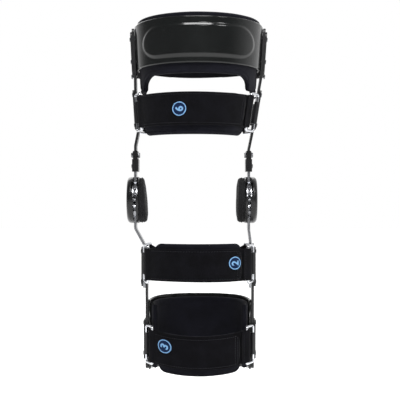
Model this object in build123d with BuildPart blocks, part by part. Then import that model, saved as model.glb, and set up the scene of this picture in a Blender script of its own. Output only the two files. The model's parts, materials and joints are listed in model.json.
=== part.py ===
from build123d import *
import math
import os

# Hinged knee brace for a left leg, standing on the knee axis.
# Millimetres. +Z up the thigh, -Y to the front of the leg, +X to the wearer's left.
# Origin: on the knee axis, midway between the two side hinges.

# ---------------------------------------------------------------- driving dimensions
LEFT, RIGHT = -1, 1                     # sides as seen from the front
SIDE_NAMES = {LEFT: "left", RIGHT: "right"}

PLATE_T = 2.8                           # thickness of every arm and upright
STRIP_W = 18.0                          # width of every arm and upright, along Y
BEND_R = 7.0                            # centreline radius where a strip is bent

ARM_X = 65.95                           # middle of the geared arms
PIVOT_Z = 11.0                          # pivots stand this far above and below the knee axis
PIN_R = 3.0
PIN_PLAY = 0.05
GEAR_TEETH = 18                         # in a full turn
GEAR_ROOT_R = 9.5
GEAR_TIP_R = 12.05
GEAR_BACKLASH = 0.25
PRESSURE_ANGLE = math.radians(20)

HINGE_PLATE_T = 1.4
HINGE_PLATE_R = 23.2
ARM_PLAY = 0.15                         # between an arm and the plate beside it
COVER_R = 27.0
COVER_OUT_X = 73.8
COVER_IN_X = 60.9
COVER_WINDOW_Z = (4.0, 21.0)            # the covers are cut back here, ahead of and behind the gears
COVER_WINDOW_X = (61.9, 70.3)
COVER_WINDOW_Y = 12.0
COVER_SCREW_R = 2.0
COVER_SCREW_HEAD_R = 4.6
POST_R = 2.2
POST_NECK = 0.6                         # how much slimmer a post is where it passes through a plate
POST_Y = (-18.8, 19.4)
STOP_GAP = 0.35
STOP_LOW_Z = 13.2                       # the stops stand beyond this height
PAD_R = 26.0
PAD_T = {LEFT: (5.6, 10.2), RIGHT: (8.6, 9.6)}   # condyle pads, at their top and bottom

SLEEVE_Z = (33.0, 57.0)
SLEEVE_STEP_Z = 47.5
SLEEVE_T = 7.4
SLEEVE_THIN_T = 5.6
SLEEVE_W = 22.0
ARM_TOP_Z = 45.0
UPRIGHT_LOW_Z = ARM_TOP_Z + 0.3         # the upright starts just above the arm, in the same sleeve
SLEEVE_RIVET_Z = 39.5
CLAMP_BOLT_Z = 52.3
CLAMP_BOLT_Y = 5.2
CLAMP_BOLT_R = 1.5

CUFF_Z = (150.0, 201.0)
CUFF_T = 3.0
CUFF_BACK_Y = 16.0
EMBOSS_H = 1.4

WIRE_R = 1.5                            # strap rings are bent from 3 mm wire
RING_HALF = 21.0                        # half height between the wires' centrelines
RING_CORNER = 2.6
KNUCKLE_R = 3.2
KNUCKLE_Y = 13.2                        # captive bar, ahead of or behind the upright
FREE_BAR_Y = 31.0
BRACKET_T = 1.8
RIVET_R = 1.6
RIVET_HEAD_R = 3.1
HOLE_PLAY = 0.03
FACE_GAP = 0.02                         # between a riveted plate and the strip under it

BRACKET_RIVETS = (-13.0, 22.5)          # along the strip, from the strap's middle
BRACKET_SPAN = (-18.5, 27.0)
CUFF_RIVETS = (-26.3, -9.0, 17.0)       # along the strip, from the strap tab's middle

LINER_T = 5.5
LINER_Z = (123.5, 206.0)
LINER_ARCH_Z = 139.5

WEBBING_W = 36.4
WEBBING_T = 4.4                         # strap folded back on itself
LOOP_R = WIRE_R + 2.3

STRAP_TAB_T = 2.0
STRAP_TAB_H = 51.0
STRAP_TAB_Z = 170.5

# Centrelines of the side strips, as (X, Z), from the hinge outwards.
THIGH_LINES = {
    LEFT: [(-ARM_X, UPRIGHT_LOW_Z), (-ARM_X, 63), (-62.8, 78.5), (-66.0, 129.5), (-66.2, 143), (-69.0, 200)],
    RIGHT: [(ARM_X, UPRIGHT_LOW_Z), (ARM_X, 58.5), (69.6, 76), (78.0, 129.5), (80.4, 143), (84.3, 200)],
}
CALF_ARM_LINES = {
    LEFT: [(-ARM_X, -26), (-ARM_X, -33), (-55.5, -52), (-55.5, -102)],
    RIGHT: [(ARM_X, -26), (ARM_X, -34), (67.7, -48), (67.7, -102)],
}
CALF_UPRIGHT_X = {LEFT: -52.7, RIGHT: 70.5}
CALF_UPRIGHT_Z = {LEFT: (-196.0, -55.0), RIGHT: (-196.0, -50.5)}
CALF_BRACKET_X = {LEFT: -56.9, RIGHT: 71.9}      # outermost face at the upper shin strap

# Strap levels: height, how far the free bars stand inboard of the upright (left, right),
# depth of the strap from the hinge plane, its climb from front to back (degrees), and whether the
# bracket's longer end points up (1) or down (-1).
THIGH_FRONT = {"z": 100.5, "flip": 1, "inboard": {LEFT: 7.5, RIGHT: 10.5}, "depth": 71.0, "tilt": 0.0}
THIGH_BACK = {"z": 100.5, "flip": 1, "inboard": {LEFT: 8.0, RIGHT: 10.0}, "depth": 66.0, "tilt": 20.0}
SHIN_UPPER = {"z": -73.0, "flip": -1, "inboard": {LEFT: 7.0, RIGHT: 8.0}, "depth": 60.0, "tilt": 0.0}
CALF_BACK = {"z": -73.0, "flip": -1, "inboard": {LEFT: 7.0, RIGHT: 9.0}, "depth": 59.0, "tilt": -22.0}
SHIN_LOWER = {"z": -165.5, "flip": 1, "inboard": {LEFT: 9.0, RIGHT: 9.5}, "depth": 55.0, "tilt": 13.0}

# Thigh cuff: outer ellipse at the lower and upper rim, as (centre X, half width, half depth).
CUFF_ELLIPSES = [(7.35, 71.85, 76.0), (7.7, 74.9, 79.0)]
# Rear calf cuff: outer ellipse at the lower and upper rim.
CALF_CUFF_Z = (-200.0, -114.0)
CALF_CUFF_ELLIPSES = [(8.9, 60.1, 50.0), (8.9, 60.1, 59.0)]
CALF_CUFF_T = 3.0
CALF_CUFF_FRONT_Y = -9.4
CALF_LINER_T = 5.0
LINER_GAP = 0.2                         # between a shell and its liner


# ---------------------------------------------------------------- geometry helpers
def x_on_line(points, z):
    """X of a strip's centreline at height z."""
    ordered = sorted(points, key=lambda point: point[1])
    for (x0, z0), (x1, z1) in zip(ordered, ordered[1:]):
        if z0 <= z <= z1:
            return x0 + (x1 - x0) * (z - z0) / (z1 - z0)
    nearest = ordered[0] if z < ordered[0][1] else ordered[-1]
    return nearest[0]


def upright_x(side, z):
    """X of the strip that carries the strap brackets, at height z."""
    if z > 0:
        return x_on_line(THIGH_LINES[side], z)
    return CALF_UPRIGHT_X[side]


def bracket_x(side, z):
    """X of the outer face that a bracket is riveted to, at height z."""
    if -100 < z < 0:
        return CALF_BRACKET_X[side]
    return upright_x(side, z) + side * PLATE_T / 2


def face_plane(side, z_mid):
    """Plane on a strip's outer face: local x along +Y, normal pointing away from the leg."""
    low = Vector(bracket_x(side, z_mid - 15), 0, z_mid - 15)
    high = Vector(bracket_x(side, z_mid + 15), 0, z_mid + 15)
    along = (high - low).normalized()
    normal = Vector(0, 1, 0).cross(along) * side
    return Plane(origin=(low + high) / 2 + normal * FACE_GAP, x_dir=(0, 1, 0), z_dir=normal)


def bar_points(side, level, front, free):
    """Lower and upper end of a ring's captive or free bar."""
    y = FREE_BAR_Y if free else KNUCKLE_Y
    shift = level["inboard"][side] if free else PLATE_T / 2
    ends = []
    for z in (level["z"] - RING_HALF, level["z"] + RING_HALF):
        x = bracket_x(side, z) - side * shift
        ends.append(Vector(x, -y if front else y, z))
    return ends


def strap_ellipse(level, front, z, depth):
    """Centre X and half width of the ellipse that passes through both free bars."""
    xs = []
    for side in (LEFT, RIGHT):
        low, high = bar_points(side, level, front, True)
        share = (z - low.Z) / (high.Z - low.Z)
        xs.append(low.X + (high.X - low.X) * share)
    half = (xs[1] - xs[0]) / 2
    return (xs[0] + xs[1]) / 2, half / math.sqrt(1 - (FREE_BAR_Y / depth) ** 2)


def band(level, front, height, inset, thickness, limit_y, drop=0.0):
    """Half band on the strap's ellipse; inset moves it towards the leg, drop moves it down."""
    way = -1 if front else 1
    depth = level["depth"]
    slope = math.radians(level["tilt"])
    normal = (0, -math.sin(slope), math.cos(slope))
    for grow, fill in ((thickness, Mode.ADD), (0, Mode.SUBTRACT)):
        rims = []
        for end in (-1, 1):
            z = level["z"] - drop + end * height / 2
            centre, half = strap_ellipse(level, front, z, depth)
            plane = Plane(origin=(0, way * FREE_BAR_Y, z), x_dir=(1, 0, 0), z_dir=normal)
            with BuildSketch(plane) as rim:
                with Locations((centre, -way * FREE_BAR_Y)):
                    Ellipse(half - inset + grow, depth - inset + grow)
            rims.append(rim.sketch)
        loft(rims, mode=fill)
    with Locations((0, way * (limit_y + 100), level["z"])):
        Box(400, 200, 400, mode=Mode.INTERSECT)


def bar_cylinder(ends, radius, overrun, mode):
    """Round bar between two points, longer by overrun at each end."""
    axis = ends[1] - ends[0]
    plane = Plane(origin=(ends[0] + ends[1]) / 2, z_dir=axis)
    with Locations(plane):
        Cylinder(radius, axis.length + 2 * overrun, mode=mode)


def drill(planes, radius, length):
    """Holes of one size through whatever stands there."""
    with Locations(*planes):
        Cylinder(radius, length, mode=Mode.SUBTRACT)


def rivet(plane, grip):
    """Round-headed rivet: head on the plane, shank reaching back through the grip."""
    with BuildSketch(plane) as shank:
        Circle(RIVET_R)
    extrude(shank.sketch, amount=-grip)
    with BuildSketch(plane) as head:
        Circle(RIVET_HEAD_R)
    extrude(head.sketch, amount=1.3, taper=32)


def shifted(plane, along_y, along_strip, out):
    """A parallel plane, moved along Y, along the strip and away from the leg."""
    strip = plane.y_dir if plane.y_dir.Z > 0 else plane.y_dir * -1
    origin = plane.origin + plane.x_dir * along_y + strip * along_strip + plane.z_dir * out
    return Plane(origin=origin, x_dir=plane.x_dir, z_dir=plane.z_dir)


def save(part, name):
    part.label = name
    export_step(part, f"parts/{name}.step")


# ---------------------------------------------------------------- geared arms
def tooth_outline(centre_z, direction, middle):
    """One involute tooth; middle is its angle from the mesh point towards the back."""
    pitch_r = PIVOT_Z
    base_r = pitch_r * math.cos(PRESSURE_ANGLE)
    half_pitch = math.pi / (2 * GEAR_TEETH) - GEAR_BACKLASH / (4 * pitch_r)
    spread = half_pitch + math.tan(PRESSURE_ANGLE) - PRESSURE_ANGLE
    flank = []
    for radius in (GEAR_ROOT_R - 0.4, base_r, 10.8, 11.45, GEAR_TIP_R):
        roll = math.acos(min(1.0, base_r / radius))
        flank.append((radius, spread - (math.tan(roll) - roll)))
    outline = []
    for way, points in ((-1, flank), (1, flank[::-1])):
        for radius, half_angle in points:
            angle = math.radians(middle) + way * half_angle
            outline.append((radius * math.sin(angle), centre_z + direction * radius * math.cos(angle)))
    return outline


def gear_end(side, centre_z, direction, teeth):
    """Toothed round end of an arm, with its pivot bore; direction points at the other gear."""
    with BuildSketch(Plane.YZ.offset(side * ARM_X)) as outline:
        with Locations((0, centre_z)):
            Circle(GEAR_ROOT_R)
        for middle in teeth:
            Polygon(*tooth_outline(centre_z, direction, middle), align=None)
        with Locations((0, centre_z - direction * 9)):
            Rectangle(STRIP_W, 18)
        with Locations((0, centre_z)):
            Circle(PIN_R + PIN_PLAY, mode=Mode.SUBTRACT)
    extrude(outline.sketch, amount=PLATE_T / 2, both=True)


def strip(line):
    """Flat strip bent along an (X, Z) centreline."""
    with BuildSketch(Plane.XZ) as edge_view:
        with BuildLine():
            FilletPolyline(*line, radius=BEND_R)
        trace(line_width=PLATE_T)
    extrude(edge_view.sketch, amount=STRIP_W / 2, both=True)


def round_ends(low, high):
    """Round the corners of a strip that ends at low and high."""
    with BuildSketch(Plane.YZ) as side_view:
        with Locations((0, (low + high) / 2)):
            RectangleRounded(STRIP_W, high - low, 5)
    extrude(side_view.sketch, amount=120, both=True, mode=Mode.INTERSECT)


def sleeve_planes(side, ys, z, out):
    """Planes for fasteners across the sleeve, normals pointing away from the leg."""
    return [Plane(origin=(side * (ARM_X + out), y, z), x_dir=(0, 1, 0), z_dir=(side, 0, 0)) for y in ys]


def bolt_planes(side, out):
    """Planes for the two clamp bolts of a sleeve."""
    return sleeve_planes(side, (-CLAMP_BOLT_Y, CLAMP_BOLT_Y), CLAMP_BOLT_Z, out)


def make_thigh_arm(side):
    with BuildPart() as thigh_arm:
        gear_end(side, PIVOT_Z, -1, (-20, 0, 20, 40, 60))
        with Locations((side * ARM_X, 0, (20 + ARM_TOP_Z) / 2)):
            Box(PLATE_T, STRIP_W, ARM_TOP_Z - 20)
        drill(sleeve_planes(side, (0,), SLEEVE_RIVET_Z, 0), RIVET_R + HOLE_PLAY, 12)
    save(thigh_arm.part, f"thigh_gear_arm_{SIDE_NAMES[side]}")


def make_calf_arm(side):
    with BuildPart() as calf_arm:
        gear_end(side, -PIVOT_Z, 1, (-10, 10, 30, 50, 70))
        strip(CALF_ARM_LINES[side])
        drill(bracket_rivet_planes(side, SHIN_UPPER), RIVET_R + HOLE_PLAY, 30)
    save(calf_arm.part, f"calf_gear_arm_{SIDE_NAMES[side]}")


# ---------------------------------------------------------------- uprights and sleeves
def bracket_rivet_planes(side, level):
    face = face_plane(side, level["z"])
    return [shifted(face, 0, level["flip"] * along, BRACKET_T) for along in BRACKET_RIVETS]


def tab_rivet_planes(side):
    face = face_plane(side, STRAP_TAB_Z)
    return [shifted(face, 0, along, STRAP_TAB_T) for along in CUFF_RIVETS]


def make_thigh_upright(side):
    with BuildPart() as thigh_upright:
        strip(THIGH_LINES[side])
        round_ends(20.0, 199.8)
        drill(bracket_rivet_planes(side, THIGH_FRONT), RIVET_R + HOLE_PLAY, 12)
        drill(tab_rivet_planes(side), RIVET_R + HOLE_PLAY, 12)
        drill(bolt_planes(side, 0), CLAMP_BOLT_R + HOLE_PLAY, 12)
    save(thigh_upright.part, f"thigh_upright_{SIDE_NAMES[side]}")


def make_calf_upright(side):
    low, high = CALF_UPRIGHT_Z[side]
    with BuildPart() as calf_upright:
        with Locations((CALF_UPRIGHT_X[side], 0, (low + high) / 2)):
            Box(PLATE_T, STRIP_W, high - low)
        round_ends(low, high)
        for level in (SHIN_UPPER, SHIN_LOWER):
            drill(bracket_rivet_planes(side, level), RIVET_R + HOLE_PLAY, 30)
    save(calf_upright.part, f"calf_upright_{SIDE_NAMES[side]}")


def make_arm_sleeve(side):
    """Moulded sleeve that joins the geared arm to the thigh upright."""
    low, high = SLEEVE_Z
    with BuildPart() as arm_sleeve:
        with Locations((side * ARM_X, 0, (low + SLEEVE_STEP_Z) / 2)):
            Box(SLEEVE_T, SLEEVE_W, SLEEVE_STEP_Z - low)
        with Locations((side * ARM_X, 0, (SLEEVE_STEP_Z + high) / 2)):
            Box(SLEEVE_THIN_T, SLEEVE_W - 2, high - SLEEVE_STEP_Z)
        fillet(arm_sleeve.edges().filter_by(Axis.Z), 1.2)
        with Locations((side * ARM_X, 0, (low + high) / 2)):
            Box(PLATE_T, STRIP_W, 60, mode=Mode.SUBTRACT)
        drill(sleeve_planes(side, (0,), SLEEVE_RIVET_Z, 0), RIVET_R + HOLE_PLAY, 12)
        drill(bolt_planes(side, 0), CLAMP_BOLT_R + HOLE_PLAY, 12)
    save(arm_sleeve.part, f"arm_sleeve_{SIDE_NAMES[side]}")


def make_clamp_bolts():
    """Two bolts and a rivet through each sleeve, nuts towards the leg."""
    with BuildPart() as clamp_bolts:
        for side in (LEFT, RIGHT):
            for plane in bolt_planes(side, SLEEVE_THIN_T / 2):
                with BuildSketch(plane):
                    Circle(CLAMP_BOLT_R)
                extrude(amount=-SLEEVE_THIN_T)
                with BuildSketch(plane):
                    Circle(3.4)
                extrude(amount=2.1, taper=18)
                with BuildSketch(shifted(plane, 0, 0, -SLEEVE_THIN_T)):
                    RegularPolygon(3.2, 6)
                extrude(amount=-1.9)
            for plane in sleeve_planes(side, (0,), SLEEVE_RIVET_Z, SLEEVE_T / 2):
                rivet(plane, SLEEVE_T)
    save(clamp_bolts.part, "clamp_bolts")


# ---------------------------------------------------------------- side hinges
def disc(side, near, far, radius):
    """Round plate about the hinge's middle, between two distances from the leg's middle."""
    with BuildSketch(Plane.YZ.offset(side * near)) as face:
        Circle(radius)
    extrude(face.sketch, amount=side * (far - near))


def pin_planes(side):
    return [Plane(origin=(side * ARM_X, 0, z), z_dir=(1, 0, 0)) for z in (-PIVOT_Z, PIVOT_Z)]


def post_planes(side):
    return [Plane(origin=(side * ARM_X, y, 0), z_dir=(1, 0, 0)) for y in POST_Y]


def hinge_plate_faces():
    """Near and far faces of the inner and the outer hinge plate."""
    inner_far = ARM_X - PLATE_T / 2 - ARM_PLAY
    outer_near = ARM_X + PLATE_T / 2 + ARM_PLAY
    return (inner_far - HINGE_PLATE_T, inner_far), (outer_near, outer_near + HINGE_PLATE_T)


def make_hinge_plates(side):
    for name, (near, far) in zip(("inner", "outer"), hinge_plate_faces()):
        with BuildPart() as hinge_plate:
            disc(side, near, far, HINGE_PLATE_R)
            drill(pin_planes(side), PIN_R + HOLE_PLAY, 12)
            drill(post_planes(side), POST_R - POST_NECK + HOLE_PLAY, 12)
            if name == "outer":
                with BuildSketch(Plane.YZ.offset(side * near)):
                    Circle(COVER_SCREW_R + HOLE_PLAY)
                extrude(amount=side * HINGE_PLATE_T, mode=Mode.SUBTRACT)
        save(hinge_plate.part, f"hinge_plate_{name}_{SIDE_NAMES[side]}")


def make_hinge_pins(side):
    (near, _), (_, far) = hinge_plate_faces()
    with BuildPart() as hinge_pins:
        for plane in pin_planes(side):
            with Locations(plane):
                Cylinder(PIN_R, far - near)
    save(hinge_pins.part, f"pivot_pins_{SIDE_NAMES[side]}")


def make_hinge_posts(side):
    """Shouldered posts that keep the two hinge plates apart."""
    (near, inner_far), (outer_near, far) = hinge_plate_faces()
    with BuildPart() as hinge_posts:
        for plane in post_planes(side):
            with Locations(plane):
                Cylinder(POST_R, outer_near - inner_far)
                Cylinder(POST_R - POST_NECK, far - near)
    save(hinge_posts.part, f"spacer_posts_{SIDE_NAMES[side]}")


def make_extension_stop(side):
    """Stop that both arms' front edges meet when the knee is straight."""
    (_, inner_far), (outer_near, _) = hinge_plate_faces()
    meet = -(STRIP_W / 2 + STOP_GAP)
    with BuildPart() as extension_stop:
        with BuildSketch(Plane.YZ.offset(side * inner_far)):
            Circle(HINGE_PLATE_R - 0.4)
            with Locations((meet, 0)):
                Rectangle(60, 60, align=(Align.MIN, Align.CENTER), mode=Mode.SUBTRACT)
            Rectangle(60, 2 * STOP_LOW_Z, mode=Mode.SUBTRACT)
        extrude(amount=side * (outer_near - inner_far))
    save(extension_stop.part, f"extension_stops_{SIDE_NAMES[side]}")


def cut_cover_windows(side):
    """Open the covers' rims ahead of and behind the upper gear."""
    near, far = COVER_WINDOW_X
    low, high = COVER_WINDOW_Z
    for way in (-1, 1):
        with Locations((side * (near + far) / 2, way * (COVER_WINDOW_Y + 15), (low + high) / 2)):
            Box(far - near, 30, high - low, mode=Mode.SUBTRACT)


def make_hinge_covers(side):
    (near, inner_far), (outer_near, far) = hinge_plate_faces()
    recess_r = HINGE_PLATE_R + 0.3
    with BuildPart() as cover_outer:
        with BuildSketch(Plane.XZ):
            with BuildLine():
                Polyline(
                    (side * far, 0),
                    (side * far, recess_r),
                    (side * (outer_near + 0.1), recess_r),
                    (side * (outer_near + 0.1), COVER_R),
                    (side * (far + 1.6), COVER_R),
                )
                TangentArc(
                    (side * (far + 1.6), COVER_R),
                    (side * COVER_OUT_X, 19.0),
                    tangent=(side, 0),
                )
                Polyline((side * COVER_OUT_X, 19.0), (side * COVER_OUT_X, 0), (side * far, 0))
            make_face()
        revolve(axis=Axis.X)
        with BuildSketch(Plane.YZ.offset(side * COVER_OUT_X)):
            Circle(16.5)
            Circle(12.5, mode=Mode.SUBTRACT)
        extrude(amount=-side * 0.9, mode=Mode.SUBTRACT)
        with BuildSketch(Plane.YZ.offset(side * far)):
            Circle(COVER_SCREW_R + HOLE_PLAY)
        extrude(amount=side * 10, mode=Mode.SUBTRACT)
        cut_cover_windows(side)
    save(cover_outer.part, f"hinge_cover_outer_{SIDE_NAMES[side]}")

    with BuildPart() as cover_inner:
        disc(side, COVER_IN_X, inner_far - 0.1, COVER_R)
        disc_edges = cover_inner.edges().filter_by(GeomType.CIRCLE)
        fillet(disc_edges.sort_by(Axis.X)[0 if side > 0 else -1], 1.5)
        with BuildSketch(Plane.YZ.offset(side * near)):
            Circle(recess_r)
        extrude(amount=side * 5, mode=Mode.SUBTRACT)
        cut_cover_windows(side)
    save(cover_inner.part, f"hinge_cover_inner_{SIDE_NAMES[side]}")


def make_cover_screw(side):
    outer_near = hinge_plate_faces()[1][0]
    with BuildPart() as cover_screw:
        with BuildSketch(Plane.YZ.offset(side * outer_near)):
            Circle(COVER_SCREW_R)
        extrude(amount=side * (COVER_OUT_X - outer_near))
        with BuildSketch(Plane.YZ.offset(side * COVER_OUT_X)):
            Circle(COVER_SCREW_HEAD_R)
        extrude(amount=side * 1.5, taper=20)
        with BuildSketch(Plane.YZ.offset(side * (COVER_OUT_X + 1.5))):
            RegularPolygon(1.9, 6)
        extrude(amount=-side * 1.3, mode=Mode.SUBTRACT)
    save(cover_screw.part, f"cover_screw_{SIDE_NAMES[side]}")


def make_condyle_pad(side):
    """Soft round pad between the hinge and the knee; the left one is wedge shaped."""
    thin, thick = PAD_T[side]
    with BuildPart() as condyle_pad:
        disc(side, COVER_IN_X - 13, COVER_IN_X, PAD_R)
        cut_low = Vector(side * (COVER_IN_X - thick), 0, -PAD_R)
        cut_high = Vector(side * (COVER_IN_X - thin), 0, PAD_R)
        normal = Vector(0, 1, 0).cross(cut_high - cut_low) * side
        split(bisect_by=Plane(origin=(cut_low + cut_high) / 2, z_dir=normal), keep=Keep.TOP)
        inner_rim = condyle_pad.edges().sort_by(Axis.X)[0 if side > 0 else -1]
        fillet(inner_rim, 3.5)
    save(condyle_pad.part, f"condyle_pad_{SIDE_NAMES[side]}")


# ---------------------------------------------------------------- cuffs
def cuff_loft(levels, ellipses, grow, mode):
    """Loft between two ellipses, each grown by the same amount."""
    rims = []
    for z, (centre, half, depth) in zip(levels, ellipses):
        with BuildSketch(Plane.XY.offset(z)) as rim:
            with Locations((centre, 0)):
                Ellipse(half + grow, depth + grow)
        rims.append(rim.sketch)
    loft(rims, mode=mode)


def cuff_profile(z):
    """The thigh cuff's ellipse continued to height z."""
    share = (z - CUFF_Z[0]) / (CUFF_Z[1] - CUFF_Z[0])
    low, high = CUFF_ELLIPSES
    return tuple(a + (b - a) * share for a, b in zip(low, high))


def make_thigh_cuff():
    with BuildPart() as thigh_cuff_shell:
        cuff_loft(CUFF_Z, CUFF_ELLIPSES, EMBOSS_H, Mode.ADD)
        with BuildSketch(Plane.XZ):
            with Locations((7.5, 175)):
                SlotOverall(124, 34)
        extrude(amount=120, mode=Mode.INTERSECT)
        cuff_loft(CUFF_Z, CUFF_ELLIPSES, 0, Mode.ADD)
        cuff_loft(CUFF_Z, CUFF_ELLIPSES, -CUFF_T, Mode.SUBTRACT)
        with Locations((0, CUFF_BACK_Y, 175)):
            Box(300, 200, 100, align=(Align.CENTER, Align.MIN, Align.CENTER), mode=Mode.SUBTRACT)
        for side in (LEFT, RIGHT):
            drill(tab_rivet_planes(side), RIVET_R + HOLE_PLAY, 16)
        back_corners = thigh_cuff_shell.edges().filter_by(GeomType.LINE).group_by(Axis.Z)
        fillet(back_corners[0].filter_by(lambda edge: edge.length < 5), 8)
        back_corners = thigh_cuff_shell.edges().filter_by(GeomType.LINE).group_by(Axis.Z)
        fillet(back_corners[-1].filter_by(lambda edge: edge.length < 5), 8)
    save(thigh_cuff_shell.part, "thigh_cuff_shell")


def make_thigh_liner():
    """Padded liner: a band inside the cuff with a leg down each upright."""
    gap = CUFF_T + LINER_GAP
    ellipses = [cuff_profile(z) for z in LINER_Z]
    with BuildPart() as thigh_liner:
        cuff_loft(LINER_Z, ellipses, -gap, Mode.ADD)
        cuff_loft(LINER_Z, ellipses, -gap - LINER_T, Mode.SUBTRACT)
        with Locations((0, CUFF_BACK_Y + 4, 160)):
            Box(300, 200, 200, align=(Align.CENTER, Align.MIN, Align.CENTER), mode=Mode.SUBTRACT)
        with BuildSketch(Plane.XZ):
            with Locations((5.0, LINER_ARCH_Z - 40)):
                RectangleRounded(122, 80, 14)
        extrude(amount=120, both=True, mode=Mode.SUBTRACT)
    save(thigh_liner.part, "thigh_cuff_liner")


def make_calf_cuff():
    with BuildPart() as calf_cuff_shell:
        cuff_loft(CALF_CUFF_Z, CALF_CUFF_ELLIPSES, 0, Mode.ADD)
        cuff_loft(CALF_CUFF_Z, CALF_CUFF_ELLIPSES, -CALF_CUFF_T, Mode.SUBTRACT)
        with BuildSketch(Plane.YZ.offset(-150)) as side_view:
            with BuildLine():
                low_z, high_z = CALF_CUFF_Z
                Polyline((CALF_CUFF_FRONT_Y, low_z + 8), (CALF_CUFF_FRONT_Y, high_z - 8))
                Spline(
                    (CALF_CUFF_FRONT_Y, high_z - 8),
                    (-2, high_z - 2.5),
                    (70, high_z),
                    tangents=((0.2, 1), (1, 0.02)),
                )
                Polyline((70, high_z), (70, low_z))
                Spline(
                    (70, low_z),
                    (-2, low_z + 2.5),
                    (CALF_CUFF_FRONT_Y, low_z + 8),
                    tangents=((-1, 0.02), (-0.2, 1)),
                )
            make_face()
        extrude(amount=320, mode=Mode.INTERSECT)
        for side in (LEFT, RIGHT):
            drill(bracket_rivet_planes(side, SHIN_LOWER), RIVET_R + HOLE_PLAY, 16)
    save(calf_cuff_shell.part, "calf_cuff_shell")

    gap = CALF_CUFF_T + LINER_GAP
    with BuildPart() as calf_liner:
        cuff_loft(CALF_CUFF_Z, CALF_CUFF_ELLIPSES, -gap, Mode.ADD)
        cuff_loft(CALF_CUFF_Z, CALF_CUFF_ELLIPSES, -gap - CALF_LINER_T, Mode.SUBTRACT)
        with BuildSketch(Plane.YZ.offset(-150)):
            with Locations((CALF_CUFF_FRONT_Y - 8, (low_z + high_z) / 2)):
                RectangleRounded(100, high_z - low_z - 8, 12, align=(Align.MIN, Align.CENTER))
        extrude(amount=320, mode=Mode.INTERSECT)
    save(calf_liner.part, "calf_cuff_liner")


def make_strap_tab(side):
    """Slotted plate for the upper rear strap, bent to follow the thigh."""
    face = shifted(face_plane(side, STRAP_TAB_Z), 0, 0, STRAP_TAB_T / 2)
    up = face.y_dir if face.y_dir.Z > 0 else face.y_dir * -1
    with BuildPart() as strap_tab:
        with BuildSketch(Plane(origin=face.origin, x_dir=(0, 1, 0), z_dir=up)):
            with BuildLine():
                FilletPolyline((-9, 0), (13, 0), (41, side * 11), radius=12)
            trace(line_width=STRAP_TAB_T)
        extrude(amount=STRAP_TAB_H / 2, both=True)
        with BuildSketch(face):
            with Locations((15, 0)):
                RectangleRounded(48, STRAP_TAB_H, 6)
        extrude(amount=30, both=True, mode=Mode.INTERSECT)
        with BuildSketch(face):
            with Locations((32, 0)):
                RectangleRounded(4.6, 41, 2)
        extrude(amount=30, both=True, mode=Mode.SUBTRACT)
        drill(tab_rivet_planes(side), RIVET_R + HOLE_PLAY, 16)
    save(strap_tab.part, f"strap_tab_{SIDE_NAMES[side]}")


# ---------------------------------------------------------------- brackets, rings, rivets
def add_bracket(side, levels):
    """Plate on the upright's outer face, with a knuckle round each ring's captive bar."""
    first = levels[0][0]
    face = face_plane(side, first["z"])
    fronts = [front for _, front in levels]
    y_low = -KNUCKLE_Y if True in fronts else -STRIP_W / 2
    y_high = KNUCKLE_Y if False in fronts else STRIP_W / 2
    middle = shifted(face, (y_low + y_high) / 2, first["flip"] * sum(BRACKET_SPAN) / 2, 0)
    with BuildSketch(middle) as plate:
        RectangleRounded(y_high - y_low, BRACKET_SPAN[1] - BRACKET_SPAN[0], 3)
    extrude(plate.sketch, amount=BRACKET_T)
    for level, front in levels:
        ends = bar_points(side, level, front, False)
        bar_cylinder(ends, KNUCKLE_R, -8.5, Mode.ADD)
        bar_cylinder(ends, WIRE_R + PIN_PLAY, 10, Mode.SUBTRACT)
    drill(bracket_rivet_planes(side, first), RIVET_R + HOLE_PLAY, 12)


def make_brackets():
    groups = (
        ("ring_bracket_thigh", [(THIGH_FRONT, True), (THIGH_BACK, False)]),
        ("ring_bracket_upper_calf", [(SHIN_UPPER, True), (CALF_BACK, False)]),
        ("ring_bracket_lower_calf", [(SHIN_LOWER, True)]),
    )
    for name, levels in groups:
        for side in (LEFT, RIGHT):
            with BuildPart() as ring_bracket:
                add_bracket(side, levels)
            save(ring_bracket.part, f"{name}_{SIDE_NAMES[side]}")


def make_rings():
    levels = (
        ("strap_6_rings", THIGH_FRONT, True),
        ("strap_4_rings", THIGH_BACK, False),
        ("strap_2_rings", SHIN_UPPER, True),
        ("strap_1_rings", CALF_BACK, False),
        ("strap_3_rings", SHIN_LOWER, True),
    )
    for name, level, front in levels:
        with BuildPart() as rings:
            for side in (LEFT, RIGHT):
                held_low, held_high = bar_points(side, level, front, False)
                free_low, free_high = bar_points(side, level, front, True)
                middle = (held_low + held_high) / 2
                with BuildLine() as loop:
                    corners = (middle, held_high, free_high, free_low, held_low, middle)
                    FilletPolyline(*corners[:5], middle + Vector(0, 0, -0.001), radius=RING_CORNER)
                path = Wire(loop.edges())
                with BuildSketch(Plane(origin=middle, z_dir=held_high - middle)):
                    Circle(WIRE_R)
                sweep(path=path)
        save(rings.part, name)


def make_rivets():
    calf_grip = BRACKET_T + PLATE_T
    with BuildPart() as thigh_rivets:
        for side in (LEFT, RIGHT):
            for plane in bracket_rivet_planes(side, THIGH_FRONT):
                rivet(plane, BRACKET_T + PLATE_T)
            for plane, extra in zip(tab_rivet_planes(side), (0, CUFF_T - 0.3, CUFF_T - 0.3)):
                rivet(plane, STRAP_TAB_T + PLATE_T + extra)
    save(thigh_rivets.part, "thigh_rivets")
    with BuildPart() as calf_rivets:
        for side in (LEFT, RIGHT):
            for plane in bracket_rivet_planes(side, SHIN_UPPER):
                rivet(plane, calf_grip + PLATE_T)
            for plane in bracket_rivet_planes(side, SHIN_LOWER):
                rivet(plane, calf_grip + CALF_CUFF_T - 0.3)
    save(calf_rivets.part, "calf_rivets")


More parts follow.
